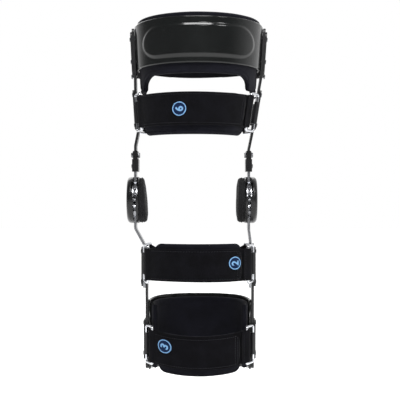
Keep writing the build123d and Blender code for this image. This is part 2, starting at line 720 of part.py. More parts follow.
# ---------------------------------------------------------------- straps, pads and labels
def make_ring_strap(name, level, front):
    """Strap that folds round the free bar of a ring at each end."""
    with BuildPart() as strap:
        band(level, front, WEBBING_W, WEBBING_T / 2, WEBBING_T, FREE_BAR_Y)
        for side in (LEFT, RIGHT):
            ends = bar_points(side, level, front, True)
            bar_cylinder(ends, LOOP_R, WEBBING_W / 2 - RING_HALF, Mode.ADD)
        for side in (LEFT, RIGHT):
            ends = bar_points(side, level, front, True)
            bar_cylinder(ends, WIRE_R + PIN_PLAY, 10, Mode.SUBTRACT)
    save(strap.part, name)


def make_upper_rear_strap():
    """Strap behind the thigh, held by the slotted tabs on the cuff."""
    levels = (STRAP_TAB_Z - WEBBING_W / 2, STRAP_TAB_Z + WEBBING_W / 2)
    ellipses = [(7.5, 73.6, 78.0), (7.6, 76.0, 80.0)]
    with BuildPart() as rear_strap:
        cuff_loft(levels, ellipses, WEBBING_T / 2, Mode.ADD)
        cuff_loft(levels, ellipses, -WEBBING_T / 2, Mode.SUBTRACT)
        with Locations((0, 43.5, STRAP_TAB_Z)):
            Box(300, 200, 100, align=(Align.CENTER, Align.MIN, Align.CENTER), mode=Mode.INTERSECT)
    save(rear_strap.part, "strap_5")


def make_pad(name, level, height, thickness, limit_y, drop):
    """Pad on the leg side of a front strap."""
    with BuildPart() as pad:
        band(level, True, height, WEBBING_T / 2 + 0.3 + thickness, thickness, limit_y, drop)
    save(pad.part, name)


def make_label(name, level, x, z, radius):
    """Curved round label on the outside of a front strap."""
    with BuildPart() as label:
        band(level, True, WEBBING_W, -WEBBING_T / 2 - 0.05, 0.7, FREE_BAR_Y)
        with BuildSketch(Plane.XZ):
            with Locations((x, z)):
                Circle(radius)
        extrude(amount=150, mode=Mode.INTERSECT)
    save(label.part, name)


# ---------------------------------------------------------------- whole brace
os.makedirs("parts", exist_ok=True)
for each_side in (LEFT, RIGHT):
    make_thigh_arm(each_side)
    make_calf_arm(each_side)
    make_thigh_upright(each_side)
    make_calf_upright(each_side)
    make_arm_sleeve(each_side)
    make_hinge_plates(each_side)
    make_hinge_pins(each_side)
    make_hinge_posts(each_side)
    make_extension_stop(each_side)
    make_hinge_covers(each_side)
    make_cover_screw(each_side)
    make_condyle_pad(each_side)
    make_strap_tab(each_side)
make_clamp_bolts()
make_thigh_cuff()
make_thigh_liner()
make_calf_cuff()
make_brackets()
make_rings()
make_rivets()
make_ring_strap("strap_6", THIGH_FRONT, True)
make_ring_strap("strap_4", THIGH_BACK, False)
make_ring_strap("strap_2", SHIN_UPPER, True)
make_ring_strap("strap_1", CALF_BACK, False)
make_ring_strap("strap_3", SHIN_LOWER, True)
make_upper_rear_strap()
make_pad("strap_6_pad", THIGH_FRONT, 46, 5.5, 38, 5)
make_pad("strap_2_pad", SHIN_UPPER, 41, 4.5, 38, -3.5)
make_pad("strap_3_pad", SHIN_LOWER, 41, 4.5, 36, 2)
make_label("label_6", THIGH_FRONT, -13.0, 100.0, 8.0)
make_label("label_2", SHIN_UPPER, 47.0, -70.5, 7.4)
make_label("label_3", SHIN_LOWER, -29.5, -164.0, 7.8)
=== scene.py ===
"""Looks of a hinged knee brace: shells, liners, straps, pads, labels, finishes, floor, light and camera."""

import json
import math

import bmesh
import bpy
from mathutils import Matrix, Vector, noise


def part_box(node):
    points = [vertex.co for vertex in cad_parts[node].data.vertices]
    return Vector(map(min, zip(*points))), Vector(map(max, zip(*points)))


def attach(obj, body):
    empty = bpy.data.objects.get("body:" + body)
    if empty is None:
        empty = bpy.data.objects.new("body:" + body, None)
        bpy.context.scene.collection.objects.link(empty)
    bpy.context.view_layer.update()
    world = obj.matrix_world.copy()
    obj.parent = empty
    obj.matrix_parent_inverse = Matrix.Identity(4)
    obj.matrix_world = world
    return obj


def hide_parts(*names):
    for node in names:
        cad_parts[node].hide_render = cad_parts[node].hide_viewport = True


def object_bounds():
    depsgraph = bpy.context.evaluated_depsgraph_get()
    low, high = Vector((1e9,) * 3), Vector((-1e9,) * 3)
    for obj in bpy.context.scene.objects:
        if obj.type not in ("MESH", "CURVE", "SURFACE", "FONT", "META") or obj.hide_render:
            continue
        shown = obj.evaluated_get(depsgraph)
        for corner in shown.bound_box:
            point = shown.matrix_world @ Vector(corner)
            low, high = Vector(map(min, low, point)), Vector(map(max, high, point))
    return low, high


bl_info = {
    "name": "Hinged knee brace",
    "version": (1, 0, 0),
    "blender": (4, 5, 0),
    "location": "3D View > Sidebar > Brace",
    "description": "Builds the looks of a hinged knee brace round its fixed frame",
    "category": "Object",
}

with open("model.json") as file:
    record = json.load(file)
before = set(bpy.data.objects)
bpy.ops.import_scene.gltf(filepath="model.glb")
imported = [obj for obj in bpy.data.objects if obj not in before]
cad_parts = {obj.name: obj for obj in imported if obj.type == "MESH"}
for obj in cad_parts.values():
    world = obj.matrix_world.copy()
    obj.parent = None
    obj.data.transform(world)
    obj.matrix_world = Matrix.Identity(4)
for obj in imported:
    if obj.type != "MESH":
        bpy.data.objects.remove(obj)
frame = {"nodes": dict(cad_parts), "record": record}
CAD_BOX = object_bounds()
NODES = frame["nodes"]
BODY_OF = {node: body for body, nodes in frame["record"]["behaviour"]["bodies"].items() for node in nodes}
SLOT_OF = {part["node"]: part["material_slot"] for part in frame["record"]["subparts"]}
BOXES = {node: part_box(node) for node in NODES}
MM = 0.001
LEFT, RIGHT = -1, 1
SIDE_NAMES = {LEFT: "left", RIGHT: "right"}


# ---------------------------------------------------------------- settings
class BraceSizes(bpy.types.PropertyGroup):
    """Sizes that a maker would change."""

    webbing_thickness: bpy.props.FloatProperty(
        name="Webbing thickness",
        description="One layer of strap",
        default=2.0 * MM,
        unit="LENGTH",
        precision=4,
    )
    webbing_width: bpy.props.FloatProperty(
        name="Webbing width",
        description="Width of every strap",
        default=36.4 * MM,
        unit="LENGTH",
        precision=4,
    )
    wire_radius: bpy.props.FloatProperty(
        name="Ring wire radius",
        description="Radius of the wire rings",
        default=1.5 * MM,
        unit="LENGTH",
        precision=4,
    )
    shell_thickness: bpy.props.FloatProperty(
        name="Shell thickness",
        description="Wall of both rigid cuffs",
        default=3.0 * MM,
        unit="LENGTH",
        precision=4,
    )
    panel_height: bpy.props.FloatProperty(
        name="Raised panel height",
        description="How far the cuff's panel stands out",
        default=1.4 * MM,
        unit="LENGTH",
        precision=4,
    )
    stitch_length: bpy.props.FloatProperty(
        name="Stitch length",
        description="Length of one stitch",
        default=2.6 * MM,
        unit="LENGTH",
        precision=4,
    )
    quilt_depth: bpy.props.FloatProperty(
        name="Seam depth",
        description="How deep a sewn seam sinks in padding",
        default=0.9 * MM,
        unit="LENGTH",
        precision=4,
    )


class BraceColours(bpy.types.PropertyGroup):
    """Colours of the finishes."""

    shell: bpy.props.FloatVectorProperty(
        name="Shell",
        description="Glossy moulded cuffs",
        subtype="COLOR",
        size=3,
        default=(0.0035, 0.004, 0.004),
    )
    moulding: bpy.props.FloatVectorProperty(
        name="Moulding",
        description="Hinge covers and sleeves",
        subtype="COLOR",
        size=3,
        default=(0.0035, 0.0035, 0.004),
    )
    coated: bpy.props.FloatVectorProperty(
        name="Coated metal",
        description="Uprights and brackets",
        subtype="COLOR",
        size=3,
        default=(0.004, 0.004, 0.005),
    )
    strap: bpy.props.FloatVectorProperty(
        name="Strap",
        description="Loop pile of the straps",
        subtype="COLOR",
        size=3,
        default=(0.0017, 0.0017, 0.0026),
    )
    lining: bpy.props.FloatVectorProperty(
        name="Lining",
        description="Brushed lining of pads",
        subtype="COLOR",
        size=3,
        default=(0.0024, 0.0025, 0.0046),
    )
    pad: bpy.props.FloatVectorProperty(
        name="Condyle pad",
        description="Soft pads at the knee",
        subtype="COLOR",
        size=3,
        default=(0.006, 0.006, 0.0065),
    )
    steel: bpy.props.FloatVectorProperty(
        name="Bright steel",
        description="Geared arms and plates",
        subtype="COLOR",
        size=3,
        default=(0.28, 0.285, 0.3),
    )
    label: bpy.props.FloatVectorProperty(
        name="Label",
        description="Ground of the labels",
        subtype="COLOR",
        size=3,
        default=(0.0022, 0.009, 0.034),
    )
    print: bpy.props.FloatVectorProperty(
        name="Print",
        description="Ring and numeral",
        subtype="COLOR",
        size=3,
        default=(0.14, 0.28, 0.47),
    )


# ---------------------------------------------------------------- shader maths
class Value:
    """A number socket on which Python's operators add Math nodes."""

    def __init__(self, graph, socket):
        self.graph = graph
        self.socket = socket

    def _math(self, operation, *values):
        return self.graph.node("ShaderNodeMath", {"operation": operation}, dict(enumerate(values)))

    def __add__(self, other):
        return self._math("ADD", self, other)

    def __sub__(self, other):
        return self._math("SUBTRACT", self, other)

    def __mul__(self, other):
        return self._math("MULTIPLY", self, other)

    def __rsub__(self, other):
        return self._math("SUBTRACT", other, self)

    __radd__ = __add__
    __rmul__ = __mul__

    def clamp(self, low, high):
        """0 at low, 1 at high."""
        sockets = {"Value": self, "From Min": low, "From Max": high}
        return self.graph.node("ShaderNodeMapRange", {"clamp": True}, sockets)


class Finish:
    """A material and the few ways this brace's finishes are put together."""

    def __init__(self, name, **sockets):
        self.material = bpy.data.materials.new(name)
        self.material.use_nodes = True
        self.tree = self.material.node_tree
        self.shader = self.tree.nodes["Principled BSDF"]
        self.place = self.node("ShaderNodeTexCoord", {}, {}, output="Object")
        self.set(**sockets)

    def node(self, kind, settings, sockets, output=0):
        made = self.tree.nodes.new(kind)
        for name, value in settings.items():
            if name == "stops":
                self._stops(made.color_ramp, value)
            else:
                setattr(made, name, value)
        for key, value in sockets.items():
            self._plug(made.inputs[key], value)
        return Value(self, made.outputs[output])

    def _plug(self, socket, value):
        if isinstance(value, Value):
            self.tree.links.new(value.socket, socket)
        else:
            socket.default_value = value

    @staticmethod
    def _stops(ramp, stops):
        while len(ramp.elements) < len(stops):
            ramp.elements.new(0.5)
        for element, (position, colour) in zip(ramp.elements, stops):
            element.position = position
            element.color = (*colour, 1)

    def set(self, **sockets):
        for name, value in sockets.items():
            self._plug(self.shader.inputs[name.replace("_", " ")], value)

    def grain(self, scale, detail=4.0, roughness=0.5, stretch=(1, 1, 1)):
        """Noise of a given scale per metre, stretched along the axes."""
        mapped = self.node("ShaderNodeMapping", {}, {"Vector": self.place, "Scale": stretch})
        return self.node(
            "ShaderNodeTexNoise",
            {},
            {"Vector": mapped, "Scale": scale, "Detail": detail, "Roughness": roughness},
        )

    def cells(self, scale, stretch=(1, 1, 1), feature="F1"):
        mapped = self.node("ShaderNodeMapping", {}, {"Vector": self.place, "Scale": stretch})
        return self.node("ShaderNodeTexVoronoi", {"feature": feature}, {"Vector": mapped, "Scale": scale})

    def wave(self, scale, axis, distortion=0.0, profile="SIN"):
        return self.node(
            "ShaderNodeTexWave",
            {"bands_direction": axis, "wave_profile": profile},
            {"Vector": self.place, "Scale": scale, "Distortion": distortion, "Detail": 1.0},
        )

    def mix(self, factor, first, second):
        """Colour between two colours."""
        sockets = {"Factor": factor, 6: as_colour(first), 7: as_colour(second)}
        return self.node("ShaderNodeMix", {"data_type": "RGBA"}, sockets, output=2)

    def bump(self, height, strength, distance, edge=0.0):
        """Fine relief, over edges that are broken to a small radius."""
        sockets = {"Height": height, "Strength": strength, "Distance": distance}
        if edge:
            sockets["Normal"] = self.node("ShaderNodeBevel", {"samples": 4}, {"Radius": edge})
        self.set(Normal=self.node("ShaderNodeBump", {}, sockets))


def as_colour(value):
    return value if isinstance(value, Value) else (*value, 1)


def shade(colour, factor):
    return tuple(min(1.0, channel * factor) for channel in colour)


# ---------------------------------------------------------------- finishes
def glossy_shell_finish(colours):
    finish = Finish("GlossyShell", IOR=1.45, Specular_IOR_Level=0.28, Coat_Roughness=0.08)
    smears = finish.grain(26, 5, 0.6, (1, 1, 0.35))
    scuffs = finish.grain(420, 3, 0.7, (1, 1, 0.08)).clamp(0.62, 0.74)
    finish.set(
        Base_Color=finish.mix(smears.clamp(0.3, 0.8), colours.shell, shade(colours.shell, 1.7)),
        Roughness=0.13 + smears.clamp(0.35, 0.75) * 0.09 + scuffs * 0.12,
        Coat_Weight=0.2 - scuffs * 0.15,
    )
    finish.bump(finish.grain(95, 2, 0.4) + scuffs * 0.15, 0.06, 0.4 * MM)
    return finish.material


def moulding_finish(colours):
    finish = Finish("SatinMoulding", IOR=1.45, Specular_IOR_Level=0.22)
    texture = finish.cells(2600)
    wear = finish.grain(140, 5, 0.65).clamp(0.58, 0.8)
    finish.set(
        Base_Color=finish.mix(wear, colours.moulding, shade(colours.moulding, 2.4)),
        Roughness=0.3 + finish.grain(60, 4).clamp(0.3, 0.7) * 0.12 + wear * 0.1,
        Coat_Weight=0.25,
    )
    finish.shader.inputs["Coat Roughness"].default_value = 0.18
    finish.bump(texture + finish.grain(700, 3) * 0.6, 0.12, 0.12 * MM, 0.5 * MM)
    return finish.material


def coated_metal_finish(colours):
    finish = Finish("CoatedMetal", IOR=1.45, Specular_IOR_Level=0.35)
    chips = finish.grain(330, 6, 0.75).clamp(0.7, 0.73)
    finish.set(
        Base_Color=finish.mix(chips, colours.coated, shade(colours.steel, 0.35)),
        Metallic=chips * 0.85,
        Roughness=0.34 + finish.grain(1500, 2).clamp(0.3, 0.7) * 0.16 - chips * 0.06,
        Coat_Weight=0.2,
    )
    finish.bump(finish.grain(2600, 2, 0.6) - chips * 0.8, 0.14, 0.1 * MM, 0.45 * MM)
    return finish.material


def bright_steel_finish(colours):
    finish = Finish("BrightSteel", Metallic=1.0)
    lines = finish.grain(900, 3, 0.6, (1, 1, 0.03))
    cloud = finish.grain(70, 4)
    finish.set(
        Base_Color=finish.mix(cloud.clamp(0.35, 0.7), shade(colours.steel, 0.82), colours.steel),
        Roughness=0.13 + lines.clamp(0.3, 0.75) * 0.2,
    )
    finish.bump(lines, 0.1, 0.08 * MM, 0.3 * MM)
    return finish.material


def chrome_finish(colours):
    finish = Finish("ChromedWire", Metallic=1.0)
    haze = finish.grain(240, 4, 0.6)
    finish.set(
        Base_Color=finish.mix(haze.clamp(0.3, 0.8), shade(colours.steel, 1.7), shade(colours.steel, 2.2)),
        Roughness=0.05 + haze.clamp(0.45, 0.8) * 0.16,
    )
    finish.bump(finish.grain(500, 2), 0.05, 0.1 * MM)
    return finish.material


def dark_steel_finish(colours):
    finish = Finish("DarkSteel", Metallic=1.0)
    stain = finish.grain(420, 5, 0.7)
    finish.set(
        Base_Color=finish.mix(stain.clamp(0.35, 0.7), shade(colours.steel, 0.28), shade(colours.steel, 0.62)),
        Roughness=0.2 + stain.clamp(0.3, 0.8) * 0.22,
    )
    finish.bump(finish.grain(1400, 3), 0.12, 0.08 * MM, 0.3 * MM)
    return finish.material


def pile_finish(name, colour, sheen):
    """Brushed loop pile: tiny tufts, lint and soft shading."""
    finish = Finish(name, Sheen_Weight=sheen, Sheen_Roughness=0.45, Specular_IOR_Level=0.08)
    tufts = finish.cells(1500)
    lint = finish.grain(2400, 4, 0.7).clamp(0.66, 0.8)
    nap = finish.grain(75, 4, 0.6).clamp(0.35, 0.7)
    ground = finish.mix(nap, shade(colour, 0.7), shade(colour, 1.5))
    finish.set(
        Base_Color=finish.mix(lint * 0.35, ground, shade(colour, 7)),
        Roughness=0.82 + tufts.clamp(0.1, 0.7) * 0.15,
    )
    finish.bump(tufts * -1.0 + finish.grain(3600, 3) * 0.7 + nap * 0.5, 0.55, 0.35 * MM)
    return finish.material


def knit_finish(name, colour, pitch, sheen):
    """Fine knitted cover: courses and wales crossed, with a soft nap; the raised loops carry a painted
    highlight, so the gaps between them read as painted shade.
    """
    finish = Finish(name, Sheen_Weight=sheen, Sheen_Roughness=0.5, Specular_IOR_Level=0.1)
    courses = finish.wave(pitch, "Z", 1.2)
    wales = finish.wave(pitch * 1.2, "X", 1.2) + finish.wave(pitch * 1.2, "Y", 1.2)
    nap = finish.grain(60, 4, 0.6).clamp(0.35, 0.7)
    loops = courses * (0.5 + wales * 0.25)
    ground = finish.mix(nap, shade(colour, 0.75), shade(colour, 1.45))
    finish.set(
        # Base colour is lighter where the loops stand highest: a painted highlight on the loop tops, painted
        # shade in the gaps.
        Base_Color=finish.mix(loops.clamp(0.2, 1.0) * 0.6, ground, shade(colour, 2.6)),
        Roughness=0.88 - loops * 0.12,
    )
    finish.bump(loops + finish.grain(1800, 3) * 0.5, 0.45, 0.3 * MM)
    return finish.material


def thread_finish(colours):
    finish = Finish("StitchThread", Sheen_Weight=0.05, Specular_IOR_Level=0.15)
    twist = finish.grain(5200, 2, 0.5, (1, 1, 0.4))
    finish.set(
        # Base colour is lighter along the raised twist of the thread: a painted highlight on the fibres.
        Base_Color=finish.mix(twist, shade(colours.strap, 1.6), shade(colours.strap, 4.5)),
        Roughness=0.55 + twist * 0.2,
    )
    finish.bump(twist, 0.3, 0.08 * MM)
    return finish.material


def label_finish(name, colour, lift):
    finish = Finish(name, Specular_IOR_Level=0.08)
    weave = finish.wave(1900, "Z", 0.6) * (0.5 + finish.wave(1900, "X", 0.6) * 0.5)
    finish.set(
        # Base colour: the raised threads of the weave are painted lighter by the factor lift, a painted
        # highlight on the weave.
        Base_Color=finish.mix(weave, shade(colour, 0.8), shade(colour, lift)),
        Roughness=0.5 + weave * 0.25,
    )
    finish.bump(weave, 0.25, 0.1 * MM)
    return finish.material


FINISHES = {}


def make_finishes():
    colours = bpy.context.scene.brace_colours
    FINISHES.update(
        shell_plastic=glossy_shell_finish(colours),
        moulded_plastic=moulding_finish(colours),
        black_metal=coated_metal_finish(colours),
        bright_steel=bright_steel_finish(colours),
        chrome_wire=chrome_finish(colours),
        dark_steel=dark_steel_finish(colours),
        strap_fabric=pile_finish("StrapPile", colours.strap, 0.02),
        lining_fabric=knit_finish("LiningKnit", colours.lining, 620, 0.025),
        condyle_foam=knit_finish("CondyleKnit", colours.pad, 520, 0.05),
        # The last figure of each label finish sets the painted highlight on the raised weave.
        printed_label=label_finish("LabelGround", colours.label, 1.5),
        print=label_finish("LabelPrint", colours.print, 1.25),
        thread=thread_finish(colours),
    )


# ---------------------------------------------------------------- mesh helpers
def new_piece(name, verts, faces, body, slot, finish=None, smooth=True):
    mesh = bpy.data.meshes.new(name)
    mesh.from_pydata([tuple(v) for v in verts], [], faces)
    mesh.validate()
    bm = bmesh.new()
    bm.from_mesh(mesh)
    bmesh.ops.recalc_face_normals(bm, faces=bm.faces)
    bm.to_mesh(mesh)
    bm.free()
    for polygon in mesh.polygons:
        polygon.use_smooth = smooth
    mesh.materials.append(FINISHES[finish or slot])
    piece = bpy.data.objects.new(name, mesh)
    bpy.context.scene.collection.objects.link(piece)
    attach(piece, body)
    return piece


def smoothstep(low, high, value):
    share = min(1.0, max(0.0, (value - low) / (high - low)))
    return share * share * (3 - 2 * share)


def spaced(low, high, count):
    return [low + (high - low) * i / (count - 1) for i in range(count)]


def rounded_section(width, thickness, radius, flat_steps, round_steps=4):
    """Closed loop of (height, depth) points round a rounded rectangle, outer face first."""
    flat = width / 2 - radius
    radius_out = min(radius, thickness / 2)
    deep = thickness / 2 - radius_out
    loop = [(h, thickness / 2) for h in spaced(-flat, flat, flat_steps)]
    turns = spaced(0, math.pi / 2, round_steps + 1)[1:]
    loop += [(flat + radius * math.sin(a), deep + radius_out * math.cos(a)) for a in turns]
    loop += [(flat + radius * math.cos(a), -deep - radius_out * math.sin(a)) for a in turns]
    loop += [(h, -thickness / 2) for h in spaced(flat, -flat, flat_steps)[1:]]
    loop += [(-flat - radius * math.sin(a), -deep - radius_out * math.cos(a)) for a in turns]
    loop += [(-flat - radius * math.cos(a), deep + radius_out * math.sin(a)) for a in turns[:-1]]
    return loop


def skin_along(stations, section, place):
    """Vertices and faces of a section carried along stations, with a cap at each end."""
    verts = [place(station, h, d) for station in stations for h, d in section]
    ring = len(section)
    faces = []
    for i in range(len(stations) - 1):
        for j in range(ring):
            k = (j + 1) % ring
            faces.append((i * ring + j, i * ring + k, (i + 1) * ring + k, (i + 1) * ring + j))
    last = (len(stations) - 1) * ring
    for start in (0, last):
        centre = Vector((0, 0, 0))
        for j in range(ring):
            centre += verts[start + j]
        verts.append(centre / ring)
        hub = len(verts) - 1
        faces += [(start + j, start + (j + 1) % ring, hub) for j in range(ring)]
    return verts, faces


def ellipse_point(centre, half, depth, angle, offset, way=-1):
    """Point on an ellipse round the leg; angle 0 is at the front (way -1) or the back (way 1)."""
    x, y = half * math.sin(angle), depth * math.cos(angle)
    nx, ny = math.sin(angle) / half, math.cos(angle) / depth
    size = math.hypot(nx, ny)
    return centre + x + offset * nx / size, way * (y + offset * ny / size)


def wander(point, scale, amount, seed):
    """Small smooth irregularity, the same on every run."""
    return noise.noise(Vector(point) * scale + Vector((seed, seed * 1.7, 0))) * amount


def add_capsule(verts, faces, first, second, normal, radius):
    along = (second - first).normalized()
    out = (normal - along * normal.dot(along)).normalized()
    side = along.cross(out)
    levels = ((0.0, 0.35, -0.2), (0.18, 0.9, 0.15), (0.5, 1.0, 0.3), (0.82, 0.9, 0.15), (1.0, 0.35, -0.2))
    base = len(verts)
    ring = 6
    for share, size, lift in levels:
        centre = first.lerp(second, share) + out * radius * lift
        for k in range(ring):
            angle = 2 * math.pi * k / ring
            verts.append(centre + (out * math.cos(angle) + side * math.sin(angle)) * radius * size)
    for level in range(len(levels) - 1):
        for k in range(ring):
            a, b = base + level * ring + k, base + level * ring + (k + 1) % ring
            faces.append((a, b, b + ring, a + ring))
    faces.append(tuple(base + k for k in range(ring)))
    top = base + (len(levels) - 1) * ring
    faces.append(tuple(top + ring - 1 - k for k in range(ring)))


# ---------------------------------------------------------------- places read from the frame
def node_points(node):
    return [v.co for v in NODES[node].data.vertices]


def free_bar(node, side):
    """Low and high end of the bar of a ring that stands furthest from the hinge plane."""
    middle = sum(BOXES[node][i].x for i in (0, 1)) / 2
    points = [p for p in node_points(node) if (p.x - middle) * side > 0]
    reach = max(abs(p.y) for p in points)
    wire = bpy.context.scene.brace_sizes.wire_radius
    near = [p for p in points if abs(p.y) > reach - 2 * wire - 0.1 * MM]
    low_z, high_z = min(p.z for p in near), max(p.z for p in near)
    ends = []
    for z in (low_z, high_z):
        group = [p for p in near if abs(p.z - z) < 8 * MM]
        xs = [p.x for p in group]
        ys = [p.y for p in group]
        zs = [p.z for p in group]
        ends.append(Vector(((min(xs) + max(xs)) / 2, (min(ys) + max(ys)) / 2, (min(zs) + max(zs)) / 2)))
    return ends


class CuffForm:
    """The ellipse of a cuff at any height, from its shell in the frame."""

    def __init__(self, node, way, low, high):
        self.way = way
        self.low, self.high = low, high
        box_low, box_high = BOXES[node]
        self.z_low, self.z_high = box_low.z, box_high.z

    def at(self, z):
        share = (z - self.z_low) / (self.z_high - self.z_low)
        return [a + (b - a) * share for a, b in zip(self.low, self.high)]

    def place(self, angle, z, offset):
        centre, half, depth = self.at(z)
        x, y = ellipse_point(centre, half, depth, angle, offset, self.way)
        return Vector((x, y, z))


THIGH_FORM = CuffForm(
    "thigh_cuff_shell", -1, low=(7.35 * MM, 71.85 * MM, 76 * MM), high=(7.7 * MM, 74.9 * MM, 79 * MM)
)
CALF_FORM = CuffForm(
    "calf_cuff_shell", 1, low=(8.9 * MM, 60.1 * MM, 50 * MM), high=(8.9 * MM, 60.1 * MM, 59 * MM)
)


# ---------------------------------------------------------------- rigid cuffs
PANEL_CENTRE = (7.5 * MM, 175 * MM)
PANEL_HALF = (62 * MM, 17 * MM)


def panel_lift(x, z):
    """Height of the raised stadium panel at a place on the thigh cuff."""
    height = bpy.context.scene.brace_sizes.panel_height
    across = max(abs(x - PANEL_CENTRE[0]) - (PANEL_HALF[0] - PANEL_HALF[1]), 0)
    inside = PANEL_HALF[1] - math.hypot(across, z - PANEL_CENTRE[1])
    return height * smoothstep(-1.8 * MM, 2.2 * MM, inside)


def corner_cut(distance, radius):
    """How much a rounded corner shortens an edge, at a distance from the end."""
    if distance >= radius:
        return 0.0
    return radius - math.sqrt(max(radius**2 - (radius - distance) ** 2, 0))


def end_stations(limit, count, tight):
    """Angles from -limit to limit, closer together near the two ends."""
    angles = []
    for i in range(count):
        share = 2 * i / (count - 1) - 1
        angles.append(limit * (share + tight * math.sin(math.pi * share) / math.pi))
    return angles


def thigh_shell():
    sizes = bpy.context.scene.brace_sizes
    low, high = BOXES["thigh_cuff_shell"]
    back = high.y
    limit = math.pi / 2 + math.asin(back / THIGH_FORM.low[2])
    mid, half = (low.z + high.z) / 2, (high.z - low.z) / 2
    section = rounded_section(2 * half, sizes.shell_thickness, 1.3 * MM, 54)

    def place(angle, h, d):
        arc_left = (limit - abs(angle)) * 76 * MM
        cut = corner_cut(arc_left, 8 * MM)
        z = mid + h * (half - cut) / half
        offset = d - sizes.shell_thickness / 2
        point = THIGH_FORM.place(angle, z, offset)
        if d > 0:
            point = THIGH_FORM.place(angle, z, offset + panel_lift(point.x, z) * (1 if point.y < 0 else 0))
        return point

    verts, faces = skin_along(end_stations(limit, 240, 0.5), section, place)
    piece = new_piece("ThighCuffShell", verts, faces, "thigh_frame", "shell_plastic")
    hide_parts("thigh_cuff_shell")


def calf_edges(y):
    """Low and high edge of the calf cuff at a distance behind the hinge plane."""
    low, high = BOXES["calf_cuff_shell"]
    front = low.y
    rise = smoothstep(front, 40 * MM, y)
    corner = corner_cut(y - front, 6 * MM)
    top = high.z - 2.5 * MM * (1 - rise) - corner
    bottom = low.z + 2.5 * MM * (1 - rise) + corner
    return bottom, top


def calf_band(name, node, form_gap, thickness, radius, margin, front_shift, steps, slot, relief=None):
    shell_front = BOXES["calf_cuff_shell"][0].y
    limit = math.pi / 2 + math.asin(min(0.9, -BOXES[node][0].y / CALF_FORM.low[2]))
    nominal = 40 * MM
    section = rounded_section(2 * nominal, thickness, radius, steps)

    def place(angle, h, d):
        x, y = ellipse_point(*CALF_FORM.at(-0.15), angle, 0, 1)
        bottom, top = calf_edges(max(y, shell_front) + front_shift)
        bottom, top = bottom + margin, top - margin
        z = (bottom + top) / 2 + h * (top - bottom) / (2 * nominal)
        lift = relief(angle, h / nominal, d) if relief else 0.0
        return CALF_FORM.place(angle, z, -form_gap + d - thickness / 2 + lift)

    verts, faces = skin_along(end_stations(limit, 170, 0.5), section, place)
    return new_piece(name, verts, faces, "calf_frame", slot)


def calf_shell():
    sizes = bpy.context.scene.brace_sizes
    piece = calf_band(
        "CalfCuffShell",
        "calf_cuff_shell",
        form_gap=0,
        thickness=sizes.shell_thickness,
        radius=1.3 * MM,
        margin=0,
        front_shift=0,
        steps=30,
        slot="shell_plastic",
        relief=calf_rib,
    )
    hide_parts("calf_cuff_shell")


def calf_rib(angle, share, d):
    """A shallow stiffening rib round the middle of the calf cuff."""
    if d < 0:
        return 0.0
    return 1.2 * MM * (1 - smoothstep(0.1, 0.2, abs(share - 0.1))) * (1 - smoothstep(1.15, 1.35, abs(angle)))


# ---------------------------------------------------------------- padded liners
def seam_dip(share, where, width):
    """1 in the middle of a sewn seam, 0 away from it."""
    return 1 - smoothstep(0, width, abs(share - where))


def thigh_liner_low(x):
    """Lower edge of the thigh liner: an arch between its two side legs."""
    low = BOXES["thigh_cuff_liner"][0].z
    arch_top, arch_half, radius = 139.5 * MM, 61 * MM, 14 * MM
    side = abs(x - 5 * MM)
    if side < arch_half - radius:
        return arch_top
    if side < arch_half - 0.05 * MM:
        return arch_top - radius + math.sqrt(radius**2 - (side - arch_half + radius) ** 2)
    return max(low, arch_top - radius - (side - arch_half) * 6)


def thigh_liner():
    sizes = bpy.context.scene.brace_sizes
    low, high = BOXES["thigh_cuff_liner"]
    thickness = 5.5 * MM
    gap = sizes.shell_thickness + 0.3 * MM
    limit = math.pi / 2 + math.asin((high.y - 1 * MM) / THIGH_FORM.low[2])
    nominal = 40 * MM
    section = rounded_section(2 * nominal, thickness, thickness / 2, 44, 5)

    def place(angle, h, d):
        plan = THIGH_FORM.place(angle, 150 * MM, -gap)
        bottom = thigh_liner_low(plan.x) if plan.y < 12 * MM else low.z
        corner = corner_cut((limit - abs(angle)) * 72 * MM, 9 * MM)
        top = high.z - corner
        bottom += corner
        z = (bottom + top) / 2 + h * (top - bottom) / (2 * nominal)
        from_top, from_bottom = top - z, z - bottom
        seam = max(seam_dip(from_top, 4.5 * MM, 1.6 * MM), seam_dip(from_bottom, 5.0 * MM, 1.6 * MM))
        puff = wander((plan.x, plan.y, z), 55, 0.5 * MM, 3) - seam * sizes.quilt_depth
        inner = -1 if d < 0 else 1
        free = 1.0 if (d < 0 or z > THIGH_FORM.z_high or z < THIGH_FORM.z_low) else 0.0
        return THIGH_FORM.place(angle, z, -gap - thickness / 2 + d + inner * puff * free)

    verts, faces = skin_along(end_stations(limit, 230, 0.4), section, place)
    piece = new_piece("ThighCuffLiner", verts, faces, "thigh_frame", "lining_fabric")
    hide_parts("thigh_cuff_liner")


def calf_liner():
    def relief(angle, share, d):
        seam = seam_dip(abs(share), 0.86, 0.05)
        inner = -1 if d < 0 else 0
        puff = wander((angle * 0.06, 0, share * 0.04), 60, 0.5 * MM, 9) - seam * 0.9 * MM
        return inner * puff

    piece = calf_band(
        "CalfCuffLiner",
        "calf_cuff_liner",
        form_gap=3.3 * MM,
        thickness=5 * MM,
        radius=2.5 * MM,
        margin=4 * MM,
        front_shift=8 * MM,
        steps=34,
        slot="lining_fabric",
        relief=relief,
    )
    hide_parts("calf_cuff_liner")


